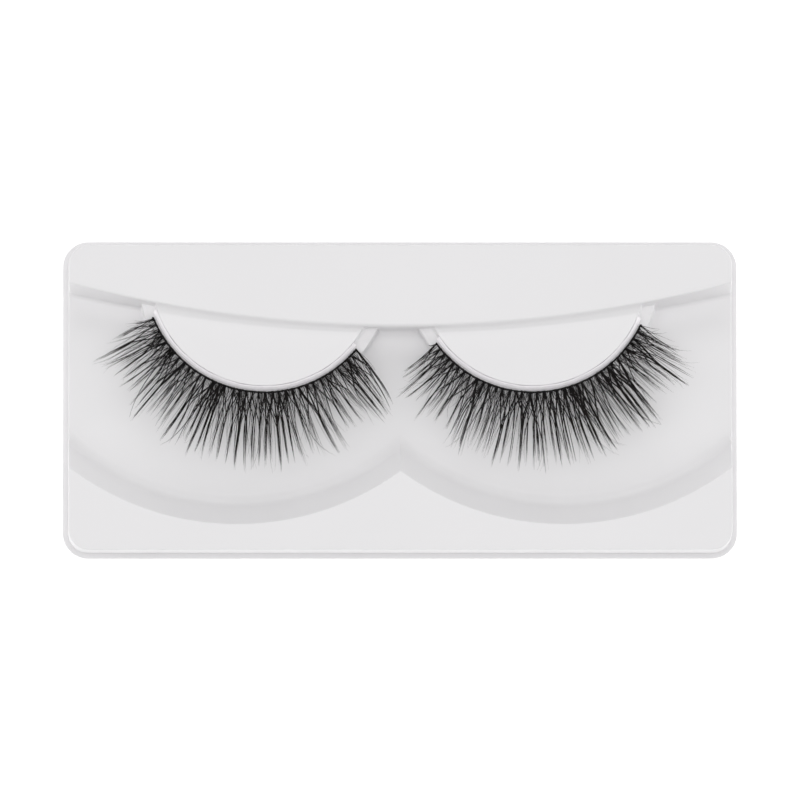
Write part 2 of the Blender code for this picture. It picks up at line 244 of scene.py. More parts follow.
def scallopTool(side, skin):
    run, crest, foot = trayPlan["slopeRun"], trayPlan["slopeCrest"], trayPlan["slopeFoot"]
    radius = scallopRadius + skin * math.tan(wallSlope(run, crest, foot) / 2)
    floor = trayPlan["floor"] - skin
    wall = [(radius - outset, floor + height) for outset, height in wallPoints(run, crest, foot)]
    points = [(side * scallopX + r, scallopY, z) for r, z in [(radius, deckTop + mm)] + wall]
    tool = drawProfile("scallopTool", points)
    spinProfile(tool, (side * scallopX, scallopY, 0), math.tau, trayPlan["scallopSteps"])
    return tool


def sweepAlongStep(name, middle, end):
    # Turns one outline about the centre of the step and blends it into another towards the ends
    radius = trayPlan["stepRadius"]
    reach = math.asin((halfLength + trayPlan["endReach"]) / radius)
    sine, cosine = math.sin(reach), math.cos(reach)
    points = [(-(radius + out) * sine, stepY - (radius + out) * cosine, z) for out, z in middle]
    tool = drawProfile(name, points + points[:1])
    cleanSolid(tool)
    spinProfile(tool, (0, stepY, 0), -2 * reach, trayPlan["stepSteps"])
    for vertex in tool.data.vertices:
        away = Vector((vertex.co.x, vertex.co.y - stepY))
        here = (away.length - radius, vertex.co.z)
        match = min(range(len(middle)), key=lambda k: math.dist(middle[k], here))
        share = min(abs(vertex.co.x) / halfLength, 1) ** 2
        out, high = (a + (b - a) * share for a, b in zip(middle[match], end[match]))
        away = away.normalized() * (radius + out)
        vertex.co = (away.x, away.y + stepY, high)
    return tool


def backDeckTool(skin):
    # The back deck itself, whose round front edge is steep in the middle and leans at the ends
    floor = trayPlan["floor"] - skin
    inner, high, low = -trayPlan["backReach"], deckTop + trayPlan["spare"], floor - trayPlan["spare"]
    outlines = []
    for run, crest, foot in (trayPlan["stepMiddle"], trayPlan["stepEnd"]):
        shift = -skin * math.tan(wallSlope(run, crest, foot) / 2)
        wall = [(outset + shift, floor + height) for outset, height in wallPoints(run, crest, foot)]
        outlines.append([(inner, high), (shift, high)] + wall + [(run + shift, low), (inner, low)])
    return sweepAlongStep("backDeckTool", *outlines)


def softStepTool(side):
    # Fills the corner between the back deck and one boss with a hollow round
    drop = trayPlan["bossDrop"] + trayPlan["sweepSink"]
    lap = trayPlan["sweepLap"]
    steps = 2 * trayPlan["roundSteps"]
    outlines = []
    for run, crest in (trayPlan["sweepMiddle"], trayPlan["sweepEnd"]):
        slope = 2 * math.atan(drop / run)
        hollow = run / math.sin(slope) - crest
        turns = [slope * k / steps for k in range(steps, -1, -1)]
        arc = [(run - hollow * math.sin(t), deckTop - drop + hollow * (1 - math.cos(t))) for t in turns]
        inner, low = -mm, deckTop - drop - trayPlan["sweepKeel"]
        outlines.append([(inner, arc[0][1] - lap)] + arc + [(run + lap, low), (inner, low)])
    tool = sweepAlongStep("softStepTool", *outlines)
    clearSelection()
    bpy.ops.mesh.primitive_cylinder_add(vertices=trayPlan["bossSteps"], depth=trayPlan["limitHeight"],
                                        radius=trayPlan["bossRadius"] - trayPlan["bossRound"],
                                        location=(bossX[side], bossY, deckTop))
    limit = bpy.context.object
    settle(limit)
    useBoolean(tool, limit, "INTERSECT")
    return tool


def bossTool(side, skin):
    # Ledge and boss in one turned shape, cut off inside the back deck
    cove = trayPlan["cove"] * (0 if skin else 1)
    edge = trayPlan["bossRound"]
    steps = trayPlan["roundSteps"]
    turns = [math.pi / 2 * k / steps for k in range(steps + 1)]
    tiers = (
        (trayPlan["bossRadius"] + trayPlan["ledgeWidth"], trayPlan["ledgeLean"],
         trayPlan["floor"], ledgeTop),
        (trayPlan["bossRadius"], trayPlan["bossLean"], ledgeTop, bossTop),
    )
    outline = [(tiers[0][0] - skin + tiers[0][1] + cove, mm)]
    for radius, lean, foot, top in tiers:
        outer, base, head = radius - skin + lean, foot - skin, top - skin
        if skin:
            outline.append((outer, base))
        else:
            outline += [(outer + cove * (1 - math.sin(t)), base + cove * (1 - math.cos(t)))
                        for t in turns]
        outline += [(outer - lean - edge * (1 - math.cos(t)), head - edge * (1 - math.sin(t)))
                    for t in turns]
    centre = (bossX[side], bossY, 0)
    tool = drawProfile("bossTool", [(centre[0] + r, bossY, z) for r, z in outline])
    spinProfile(tool, centre, math.tau, trayPlan["bossSteps"])
    chordX = trayPlan["bossApart"] + trayPlan["bossRadius"]
    chordY = stepY - math.sqrt(trayPlan["stepRadius"] ** 2 - chordX ** 2)
    openEdit(tool)
    bpy.ops.mesh.select_all(action="SELECT")
    bpy.ops.mesh.bisect(plane_co=(0, chordY, 0), plane_no=(0, 1, 0), use_fill=True, clear_outer=True)
    closeEdit()
    return tool


def trayForm(name, skin, low):
    form = roundedBlock(name, halfLength - skin, halfWidth - skin,
                        trayPlan["footCorner"] - skin, low, deckTop - skin, trayPlan["wallLean"])
    recess = scallopTool(-1, skin)
    useBoolean(recess, scallopTool(1, skin), "UNION")
    useBoolean(recess, backDeckTool(skin), "DIFFERENCE")
    useBoolean(form, recess, "DIFFERENCE")
    for side in (-1, 1):
        useBoolean(form, bossTool(side, skin), "UNION")
        if not skin:
            useBoolean(form, softStepTool(side), "UNION")
    return form


def isSideWall(face):
    # True for faces that lie on the outside of the tray and look outwards
    corner = trayPlan["footCorner"]
    centre = face.calc_center_median()
    coreX, coreY = halfLength - corner, halfWidth - corner
    away = Vector((centre.x - max(-coreX, min(coreX, centre.x)),
                   centre.y - max(-coreY, min(coreY, centre.y)), 0))
    facing = face.normal.dot(away.normalized())
    return away.length > corner - trayPlan["wallSlack"] and facing > trayPlan["wallFacing"]


def makeTray():
    shell = trayForm("trayShell", 0, trayPlan["sheet"] / 2)
    openEdit(shell)
    bpy.ops.mesh.select_all(action="SELECT")
    bpy.ops.mesh.remove_doubles(threshold=trayPlan["shellGap"])
    selectWhere(shell, "verts", lambda v: abs(v.co.x) > halfLength - trayPlan["endZone"])
    bpy.ops.mesh.remove_doubles(threshold=trayPlan["endGap"])
    bpy.ops.mesh.select_all(action="SELECT")
    bpy.ops.mesh.dissolve_limited(angle_limit=trayPlan["flatTurn"])
    bpy.ops.mesh.select_mode(type="EDGE")
    selectWhere(shell, "edges", lambda e: len(e.link_faces) == 2
                and isSideWall(e.link_faces[0]) != isSideWall(e.link_faces[1])
                and max(v.co.z for v in e.verts) > trayPlan["floor"] - trayPlan["rimDepth"])
    bpy.ops.mesh.bevel(offset=trayPlan["edgeRound"], segments=trayPlan["edgeSteps"], affect="EDGES",
                       loop_slide=False)
    closeEdit()
    print("tray form ready")
    flange = roundedBlock("flange", trayHigh.x, trayHigh.y, trayPlan["footCorner"] + trayPlan["flange"],
                          0, trayPlan["sheet"], trayPlan["flangeLean"])
    useBoolean(shell, flange, "UNION")
    useBoolean(shell, trayForm("inside", trayPlan["sheet"], -mm), "DIFFERENCE")
    openEdit(shell)
    bpy.ops.mesh.select_all(action="SELECT")
    bpy.ops.mesh.remove_doubles(threshold=trayPlan["lastGap"])
    bpy.ops.mesh.fill_holes(sides=0)
    closeEdit()
    bpy.ops.object.shade_smooth_by_angle(angle=trayPlan["smoothTurn"])
    even = shell.modifiers.new("even", "WEIGHTED_NORMAL")
    even.keep_sharp = True
    bpy.ops.object.modifier_apply(modifier=even.name)
    return shell


tray = makeTray()
print("tray faces", len(tray.data.polygons))


# Where the strips sit: angles run from straight forward, below nought towards the tray's ends

stripPlan = {
    "bandRadius": 17.97 * mm,
    "bandFoot": 5.9 * mm,
    "bandHeight": 1.0 * mm,
    "bandLean": 0.24 * mm,
    "bandThick": 0.22 * mm,
    "rootRadius": 18.46 * mm,
    "rootHeight": 6.15 * mm,
    "rootTilt": math.radians(-7),
    "tipTilt": math.radians(42),
    "photoStep": 0.15567 * mm,  # one picture point on the tray, in which the reaches below are counted
}

bandAngles = {-1: (-70.8, 51.7), 1: (-67.1, 55.5)}
hairAngles = {-1: (-67.6, 50.0), 1: (-63.8, 53.8)}


def stripPoint(side, angle, radius, height):
    turn = math.radians(angle)
    return Vector((bossX[side] - side * radius * math.sin(turn), bossY - radius * math.cos(turn), height))


def curl(share):
    # Reach and rise of a lash at a share of its length, as parts of its whole reach
    root, tip = stripPlan["rootTilt"], stripPlan["tipTilt"]
    full = math.sin(tip) - math.sin(root)
    tilt = root + (tip - root) * share
    return (math.sin(tilt) - math.sin(root)) / full, (math.cos(root) - math.cos(tilt)) / full


# Lashes

# Every spike is root angle, tip angle, reach in picture points and fullness
leftSpikes = [
    (-66.5, -65.5, 47, 7), (-62, -61.8, 74, 9), (-58.5, -59.8, 70, 9), (-56.5, -57.3, 55, 8),
    (-55.5, -54.9, 64, 8), (-53, -52.8, 60, 8), (-50.5, -51.2, 66, 9), (-49.5, -48.4, 62, 8),
    (-47, -45.1, 71, 9), (-44.5, -43.2, 70, 10), (-43, -41.6, 82, 16), (-40, -39.3, 66, 9),
    (-38.5, -37.3, 62, 8), (-36.5, -35.3, 70, 9), (-34, -33.8, 75, 10), (-30.5, -31.6, 80, 13),
    (-29.5, -28.9, 78, 10), (-27, -26.8, 76, 10), (-25, -25, 70, 9), (-23.5, -23.2, 83, 16),
    (-21.5, -20.9, 76, 10), (-20.5, -18.6, 80, 13), (-17, -16.8, 76, 10), (-15.5, -14.1, 78, 13),
    (-12, -11.3, 78, 11), (-9.5, -8.6, 82, 17), (-7.5, -5.3, 84, 11), (-4, -3.2, 80, 11),
    (-1.5, -1.5, 76, 11), (1, 0.3, 78, 11), (1.5, 2.2, 72, 10), (5, 4.8, 83, 17),
    (7, 7.2, 76, 11), (9, 9.2, 75, 11), (11, 12.6, 80, 11), (14, 15.2, 70, 10),
    (17, 18, 75, 11), (20.5, 22.3, 79, 14), (24, 25.5, 80, 11), (27.5, 28.2, 60, 9),
    (30, 30.8, 62, 9), (32.5, 33.4, 62, 9), (35, 36, 56, 9), (38, 38.3, 74, 10),
    (40, 39.4, 72, 13), (43, 40.8, 70, 10), (45.5, 42.4, 60, 9), (47.5, 42.2, 68, 9),
    (49.4, 43.9, 66, 8),
]

rightSpikes = [
    (-62.8, -60.6, 50, 6), (-58.5, -58.6, 62, 8), (-56, -56.5, 74, 9), (-54, -53.5, 74, 13),
    (-51.5, -52, 62, 8), (-49, -49.5, 66, 9), (-46.5, -47.5, 62, 9), (-43.5, -43.5, 62, 9),
    (-42, -40.5, 76, 10), (-41, -39.5, 80, 14), (-38.5, -37.8, 80, 10), (-37, -36.8, 76, 14),
    (-34.5, -35, 70, 9), (-33.5, -34, 76, 10), (-32, -32.5, 62, 9), (-30, -30.8, 72, 10),
    (-28, -28.5, 70, 9), (-26, -26.5, 76, 10), (-23, -25, 80, 17), (-22.5, -23.8, 80, 11),
    (-20.5, -21.5, 80, 17), (-19.5, -20.5, 78, 10), (-17.5, -18, 80, 11), (-16, -16.3, 82, 11),
    (-14, -15, 70, 13), (-12, -12, 78, 11), (-10.5, -10.8, 80, 11), (-8.5, -8.3, 80, 17),
    (-6.5, -7, 76, 11), (-4.5, -4.8, 66, 10), (-3, -3.5, 84, 11), (-1.5, -1.5, 76, 11),
    (0, 0, 80, 11), (2, 2.2, 76, 11), (4, 4.2, 82, 14), (7, 7.5, 78, 11),
    (9.5, 9.8, 76, 11), (11, 12.2, 82, 17), (14, 14.5, 74, 10), (17, 17.5, 72, 10),
    (20, 20.5, 70, 10), (24.5, 22.3, 80, 14), (25.5, 25, 76, 10), (27.5, 27, 68, 10),
    (30, 29, 62, 9), (33.5, 33.4, 62, 13), (37, 37, 62, 10), (39.7, 38.6, 72, 11),
    (42, 42, 56, 9), (43.5, 45.3, 62, 13), (47, 47, 66, 9), (48.5, 48.5, 48, 8),
    (50.5, 51, 50, 8), (52.5, 52.5, 44, 7),
]

# Loose hairs that stand out: root angle, tip angle, reach, sideways hook in millimetres, number of hairs
strayHairs = {
    -1: ((-1.0, -2.5, 81, -0.9, 2), (-50, -42.5, 80, 0, 3), (-66.8, -68.6, 22, 0, 7),
         (3, 1, 83, 0.8, 2), (13, 19.5, 79, 0.9, 2), (-25, -30, 84, -0.5, 2),
         (44, 40.5, 74, 0.5, 2), (-61, -60.5, 76, -0.5, 3)),
    1: ((-1.5, -3.4, 81, 1.4, 1), (-19, -26.0, 78, -1.0, 3), (-17, -23.5, 84, -0.8, 2),
        (-34, -38.5, 81, -0.7, 4), (-60, -62.5, 58, -0.4, 3), (47.5, 46.5, 68, 0.5, 3),
        (53.2, 54.5, 9, 0.3, 4), (20, 25.5, 78, 0.5, 2)),
}

# Values without mm are in millimetres where they move a hair, and in degrees where they turn it
lashPlan = {
    "hairSteps": 11,
    "thick": 0.039 * mm,  # half thickness near the root
    "tipShare": 0.12,
    "taperFrom": 0.3,  # share of the length where a hair begins to thin
    "taperPower": 1.3,
    "hookFrom": 0.65,
    "apartEase": 0.35,
    "tintStep": 0.618034,
    # hairs of one strand
    "beside": 0.05,
    "splay": 0.32,
    "hairLift": 0.05,
    "hairLength": (0.78, 1.0),
    "hairThick": (0.82, 1.12),
    "bow": 0.07,
    "strandLift": 0.16,
    "strandRise": (0.78, 1.0),
    # strands of one spike
    "denseFrom": 12,  # spikes fuller than this are dense
    "denseShare": 1.7,
    "openShares": (0.5, 0.75, 1.3),
    "tightFrom": 1.2,
    "tightLoose": 0.35,
    "openLoose": (0.5, 1.1),
    "fullnessPerStrand": 3.6,
    "leastStrands": 3,
    "leastHairs": 2,
    "hairsPerStrand": 3.2,
    "hairsMore": (-0.9, 1.1),
    "strandSpread": 1.4 * mm,
    "strandLength": (0.84, 1.0),
    "strandJoin": (0.3, 0.62),
    "placeWander": 0.25,
    "knotWander": 0.06,
    "apartWander": 0.3,
    "crossing": 0.1,
    "knotSpace": 1.05 * mm,
    "knotShift": 0.22,
    # single hairs, stray hairs and short fluff
    "singles": 230,
    "singleTurn": (-3.0, 3.0),
    "singleLength": (0.55, 1.0),
    "singleThick": 0.7,
    "hookShare": 0.2,
    "strongHook": 0.7,
    "weakHook": 0.15,
    "strayLoose": 0.5,
    "fluff": 260,
    "fluffWander": 0.5,
    "fluffLean": (2.0, 7.0),
    "fluffEnds": (2, 1.5),
    "fluffLength": (1.6, 5.2),
    "fluffThick": 0.75,
}


def taper(share, thick):
    # A hair keeps its thickness near the root, then runs out to a fine tip
    start = lashPlan["taperFrom"]
    run = max(0, (share - start) / (1 - start)) ** lashPlan["taperPower"]
    return thick * (1 - (1 - lashPlan["tipShare"]) * run)


def smooth(share):
    share = max(0, min(1, share))
    return share * share * (3 - 2 * share)


def drawStrand(side, spike, way, hair):
    # Points of one hair: it leaves its knot, joins its spike and follows it to the tip
    rootAngle, tipAngle, reach = spike
    hookFrom, apartEase = lashPlan["hookFrom"], lashPlan["apartEase"]
    points = []
    steps = lashPlan["hairSteps"]
    for k in range(steps + 1):
        share = k / steps * hair["whole"]
        out, rise = curl(share)
        radius = stripPlan["rootRadius"] + reach * out
        joined = smooth(share / way["join"])
        hooked = max(0, (share - hookFrom) / (1 - hookFrom)) ** 2
        aside = way["offset"] * (1 - joined) + way["apart"] * joined * (1 - apartEase * share)
        aside += way["bow"] * math.sin(math.pi * share) + way["hook"] * hooked
        aside += hair["beside"] * (1 - 0.5 * joined) + hair["splay"] * share * share
        angle = rootAngle + (tipAngle - rootAngle) * (0.5 * share + 0.5 * share * share)
        angle += math.degrees(aside / radius)
        height = stripPlan["rootHeight"] + (way["lift"] + hair["lift"]) * (1 - 0.5 * share)
        height += reach * rise * way["rise"]
        points.append((stripPoint(side, angle, radius, height), taper(k / steps, hair["thick"])))
    return points


def growStrand(side, spike, dice, offset, count, join, apart, whole, loose=1.0, hook=0.0):
    # A few hairs from one knot that stay close together
    strandLift, hairLift = lashPlan["strandLift"], lashPlan["hairLift"]
    way = {"offset": offset, "join": join, "apart": apart, "hook": hook,
           "bow": dice.gauss(0, lashPlan["bow"]) * mm,
           "lift": dice.uniform(-strandLift, strandLift) * mm,
           "rise": dice.uniform(*lashPlan["strandRise"])}
    hairs = []
    for k in range(count):
        hair = {"beside": dice.gauss(0, lashPlan["beside"]) * mm,
                "splay": loose * dice.gauss(0, lashPlan["splay"]) * mm,
                "lift": dice.uniform(-hairLift, hairLift) * mm,
                "whole": whole * dice.uniform(*lashPlan["hairLength"]),
                "thick": lashPlan["thick"] * dice.uniform(*lashPlan["hairThick"])}
        if k == 0:
            hair["whole"], hair["splay"] = whole, 0
        hairs.append(drawStrand(side, spike, way, hair))
    return hairs


def growSpike(side, spike, dice, knots):
    # The strands of one spike come from the knots on both sides of it and so cross their neighbours
    rootAngle, tipAngle, length, fullness = spike
    root = stripPlan["rootRadius"]
    shape = (rootAngle, tipAngle, length * stripPlan["photoStep"])
    dense = fullness > lashPlan["denseFrom"]
    full = lashPlan["denseShare"] if dense else dice.choice(lashPlan["openShares"])
    strands = max(lashPlan["leastStrands"], round(full * fullness / lashPlan["fullnessPerStrand"]))
    tight = full > lashPlan["tightFrom"]
    loose = lashPlan["tightLoose"] if tight else dice.uniform(*lashPlan["openLoose"])
    hairs = []
    for k in range(strands):
        place = ((k + 0.5) / strands * 2 - 1) * lashPlan["strandSpread"]
        place += dice.gauss(0, lashPlan["placeWander"]) * mm
        start = rootAngle + math.degrees(place / root)
        knot = min(knots, key=lambda angle: abs(angle - start))
        knot += math.degrees(dice.gauss(0, lashPlan["knotWander"]) * mm / root)
        offset = math.radians(knot - rootAngle) * root
        apart = loose * (dice.gauss(0, lashPlan["apartWander"]) * mm - lashPlan["crossing"] * offset)
        more = dice.uniform(*lashPlan["hairsMore"])
        number = max(lashPlan["leastHairs"], round(lashPlan["hairsPerStrand"] + more))
        whole = 1.0 if k == strands // 2 else dice.uniform(*lashPlan["strandLength"])
        join = dice.uniform(*lashPlan["strandJoin"])
        hairs += growStrand(side, shape, dice, offset, number, join, apart, whole, loose)
    return hairs


def thinner(hairs, share):
    return [[(place, thick * share) for place, thick in hair] for hair in hairs]


def placeKnots(first, last, dice):
    step = math.degrees(lashPlan["knotSpace"] / stripPlan["rootRadius"])
    count = round((last - first) / step)
    knots = []
    for k in range(count + 1):
        shift = dice.uniform(-lashPlan["knotShift"], lashPlan["knotShift"]) * (0 < k < count)
        knots.append(first + (last - first) * (k + shift) / count)
    return knots


def growHairs(side, spikes, dice):
    hairs = []
    first, last = hairAngles[side]
    lastTip = spikes[-1][1]
    point = stripPlan["photoStep"]
    knots = placeKnots(first, last, dice)
    for spike in spikes:
        hairs += growSpike(side, spike, dice, knots)
    for k in range(lashPlan["singles"]):
        start = first + (last - first) * (k + dice.random()) / lashPlan["singles"]
        near = min(spikes, key=lambda spike: abs(spike[0] - start))
        tip = min(lastTip, start + near[1] - near[0] + dice.uniform(*lashPlan["singleTurn"]))
        shape = (start, tip, near[2] * point * dice.uniform(*lashPlan["singleLength"]))
        hooked = dice.random() < lashPlan["hookShare"]
        hook = dice.gauss(0, lashPlan["strongHook"] if hooked else lashPlan["weakHook"]) * mm
        single = growStrand(side, shape, dice, 0, 1, 1, 0, 1.0, 0, hook)
        hairs += thinner(single, lashPlan["singleThick"])
    for start, tip, length, hook, count in strayHairs[side]:
        shape = (start, tip, length * point)
        hairs += growStrand(side, shape, dice, 0, count, 1, 0, 1.0, lashPlan["strayLoose"], hook * mm)
    before, behind = lashPlan["fluffEnds"]
    for k in range(lashPlan["fluff"]):
        start = max(first, min(last, dice.choice(knots) + dice.gauss(0, lashPlan["fluffWander"])))
        lean = dice.choice((-1, 1)) * dice.uniform(*lashPlan["fluffLean"])
        tip = max(first - before, min(last - behind, start + lean))
        shape = (start, tip, dice.uniform(*lashPlan["fluffLength"]) * mm)
        short = growStrand(side, shape, dice, 0, 1, 1, 0, 1.0)
        hairs += thinner(short, lashPlan["fluffThick"])
    return hairs


def drawHairs(name, hairs):
    # One open line for each hair, turned into a mesh with four sides
    lines = bpy.data.curves.new(name, "CURVE")
    lines.dimensions = "3D"
    lines.bevel_depth = 1.0
    lines.bevel_resolution = 0
    for hair in hairs:
        line = lines.splines.new("POLY")
        line.points.add(len(hair) - 1)
        for point, (place, radius) in zip(line.points, hair):
            point.co = (*place, 1)
            point.radius = radius
    piece = bpy.data.objects.new(name, lines)
    bpy.context.scene.collection.objects.link(piece)
    makeActive(piece)
    bpy.ops.object.convert(target="MESH")
    piece = bpy.context.object
    ringCount = sum(len(hair) for hair in hairs)
    perRing = len(piece.data.vertices) // ringCount
    along, tint = [], []
    for k, hair in enumerate(hairs):
        shade = (k * lashPlan["tintStep"]) % 1
        for j in range(len(hair)):
            along += [j / (len(hair) - 1)] * perRing
            tint += [shade] * perRing
    for label, values in (("along", along), ("tint", tint)):
        layer = piece.data.attributes.new(label, "FLOAT", "POINT")
        layer.data.foreach_set("value", values)
    openEdit(piece)
    bpy.ops.mesh.select_all(action="SELECT")
    bpy.ops.mesh.fill_holes(sides=0)
    bpy.ops.mesh.normals_make_consistent(inside=False)
    closeEdit()
    bpy.ops.object.shade_smooth()
    return piece


def makeLashes(side, name, spikes, seed):
    dice = random.Random(seed)
    hairs = growHairs(side, spikes, dice)
    piece = drawHairs(name, hairs)
    print(name, len(hairs), "hairs", len(piece.data.polygons), "faces")
    return piece


leftLashes = makeLashes(-1, "leftLashes", leftSpikes, 11)
rightLashes = makeLashes(1, "rightLashes", rightSpikes, 29)


# Root thread and knots, with spreads in millimetres

rootPlan = {
    "outset": 0.14 * mm,
    "threadSteps": 170,
    "threadThick": 0.15 * mm,
    "threadOut": (-0.03, 0.04),
    "threadUp": (-0.03, 0.03),
    "threadSwell": (0.75, 1.15),
    "knotSize": 0.2 * mm,
    "knotSides": 8,
    "knotRings": 5,
    "knotShift": 0.2,  # part of the way to the next knot
    "knotOut": (0, 0.12),
    "knotUp": 0.03 * mm,
    "knotSwell": (0.6, 1.15),
    "knotShape": (0.85, 1.2, 0.9),
}


def makeRoots(side, name, seed):
    dice = random.Random(seed)
    first, last = hairAngles[side]
    root = stripPlan["rootRadius"] + rootPlan["outset"]
    high = stripPlan["rootHeight"]
    steps = rootPlan["threadSteps"]
    line = []
    for k in range(steps + 1):
        angle = first + (last - first) * k / steps
        place = stripPoint(side, angle, root + dice.uniform(*rootPlan["threadOut"]) * mm,
                           high + dice.uniform(*rootPlan["threadUp"]) * mm)
        line.append((place, rootPlan["threadThick"] * dice.uniform(*rootPlan["threadSwell"])))
    thread = drawHairs(name, [line])
    step = math.degrees(lashPlan["knotSpace"] / 2 / root)
    count = int((last - first) / step)
    clearSelection()
    bpy.ops.mesh.primitive_uv_sphere_add(segments=rootPlan["knotSides"], ring_count=rootPlan["knotRings"],
                                         radius=rootPlan["knotSize"])
    firstKnot = bpy.context.object
    pieces = [thread]
    shift = rootPlan["knotShift"]
    for k in range(count + 1):
        copy = firstKnot.copy()
        copy.data = firstKnot.data.copy()
        bpy.context.scene.collection.objects.link(copy)
        angle = first + k * step + dice.uniform(-shift, shift) * step
        copy.location = stripPoint(side, angle, root + dice.uniform(*rootPlan["knotOut"]) * mm,
                                   high + rootPlan["knotUp"])
        copy.rotation_euler = (0, 0, side * math.radians(angle))
        size = dice.uniform(*rootPlan["knotSwell"])
        copy.scale = [size * part for part in rootPlan["knotShape"]]
        pieces.append(copy)
    bpy.data.objects.remove(firstKnot, do_unlink=True)
    clearSelection()
    for piece in pieces:
        piece.select_set(True)
    bpy.context.view_layer.objects.active = thread
    bpy.ops.object.join()
    settle(thread)
    bpy.ops.object.shade_smooth()
    return thread


leftRoots = makeRoots(-1, "leftRoots", 5)
rightRoots = makeRoots(1, "rightRoots", 6)


# Clear bands

bandPlan = {
    "outlineSteps": 12,
    "squareUp": 0.5,
    "squareOut": 0.8,
    "turnSteps": 120,
    "ripples": ((0.025, 17, 1), (0.015, 41, 2)),  # millimetres, waves in a turn, share of the start
    "rippleStart": 1.7,
    "smoothTurn": math.radians(50),
}


def makeBand(side, name, seed):
    # A thin clear strip with rounded edges, leaning out at its foot, turned about the boss
    first, last = bandAngles[side]
    radius, foot = stripPlan["bandRadius"], stripPlan["bandFoot"]
    high, lean, half = stripPlan["bandHeight"], stripPlan["bandLean"], stripPlan["bandThick"] / 2
    section = []
    for k in range(bandPlan["outlineSteps"]):
        turn = math.tau * k / bandPlan["outlineSteps"]
        up = math.copysign(abs(math.cos(turn)) ** bandPlan["squareUp"], math.cos(turn))
        out = math.copysign(abs(math.sin(turn)) ** bandPlan["squareOut"], math.sin(turn))
        section.append((radius + half * out - lean * up, foot + high / 2 * (1 + up)))
    points = [stripPoint(side, first, r, z) for r, z in section]
    band = drawProfile(name, points + points[:1])
    cleanSolid(band)
    centre = (bossX[side], bossY, 0)
    spinProfile(band, centre, side * math.radians(last - first), bandPlan["turnSteps"])
    wave = seed * bandPlan["rippleStart"]
    for vertex in band.data.vertices:
        away = Vector((vertex.co.x - centre[0], vertex.co.y - bossY))
        turn = math.atan2(away.x, away.y)
        ripple = sum(size * math.sin(count * turn + start * wave)
                     for size, count, start in bandPlan["ripples"])
        away *= 1 + ripple * mm / away.length
        vertex.co.x, vertex.co.y = centre[0] + away.x, bossY + away.y
    makeActive(band)
    bpy.ops.object.shade_smooth_by_angle(angle=bandPlan["smoothTurn"])
    return band


leftBand = makeBand(-1, "leftBand", 1)
rightBand = makeBand(1, "rightBand", 2)
print("strips ready")


# Finishes

trayFinish = {
    "cloudScale": 45.0,
    "cloudDetail": 3.0,
    "shades": ((0.885, 0.876, 0.887, 1), (0.900, 0.891, 0.902, 1)),
    "shadePlaces": (0.3, 0.7),
    "gloss": (0.30, 0.38),
    "speckScale": 240.0,
    "speckSize": (0.012, 0.03),
    "speckFree": 0.955,  # share of the places that stay without a speck
    "speckColour": (0.42, 0.41, 0.40, 1),
    "grainScale": 1500.0,
    "grainDetail": 2.0,
    "grainStrength": 0.05,
    "grainDepth": 0.00004,
    "refraction": 1.5,
}

fibreFinish = {
    "shades": ((0.004, 0.0036, 0.0038, 1), (0.020, 0.015, 0.013, 1)),
    "tintShift": (-0.15, 0.25),
    "gloss": (0.42, 0.62),
    "shine": 0.18,
}

# In these three a fine noise moves the colour and the sockets that vary
threadFinish = {
    "scale": 3000.0,
    "detail": 2.0,
    "shades": ((0.004, 0.004, 0.0045, 1), (0.02, 0.018, 0.018, 1)),
    "varies": {"Roughness": (0.5, 0.8)},
    "steady": {"Specular IOR Level": 0.15},
}

bandFinishWithPaintedGlow = {
    "scale": 900.0,
    "detail": 2.0,
    "shades": ((0.84, 0.82, 0.84, 1), (0.90, 0.88, 0.90, 1)),
    "varies": {"Alpha": (0.8, 1.0)},
    # The emission is painted light: a faint glow that stands in for light passing through the clear film
    # and lifts the band out of the shade of the hairs
    "steady": {"Roughness": 0.22, "Emission Color": (1, 0.985, 1, 1), "Emission Strength": 0.17},
}

paperFinish = {
    "scale": 6.0,
    "detail": 2.0,
    "shades": ((0.88, 0.88, 0.88, 1), (0.90, 0.90, 0.90, 1)),
    "varies": {},
    "steady": {"Roughness": 0.9, "Specular IOR Level": 0.1,
               "Emission Color": (1, 1, 1, 1), "Emission Strength": 0.45},
}


def newMaterial(name):
    material = bpy.data.materials.new(name)
    material.use_nodes = True
    tree = material.node_tree
    return material, tree, tree.nodes["Principled BSDF"]


def addNode(tree, kind, **values):
    node = tree.nodes.new(kind)
    for label, value in values.items():
        if label in node.inputs:
            node.inputs[label].default_value = value
        else:
            setattr(node, label, value)
    return node


def addRamp(tree, shades, places=(0.0, 1.0)):
    ramp = tree.nodes.new("ShaderNodeValToRGB")
    for k in range(2):
        ramp.color_ramp.elements[k].position = places[k]
        ramp.color_ramp.elements[k].color = shades[k]
    return ramp


def addRange(tree, span, ends=("To Min", "To Max")):
    node = tree.nodes.new("ShaderNodeMapRange")
    for end, value in zip(ends, span):
        node.inputs[end].default_value = value
    return node


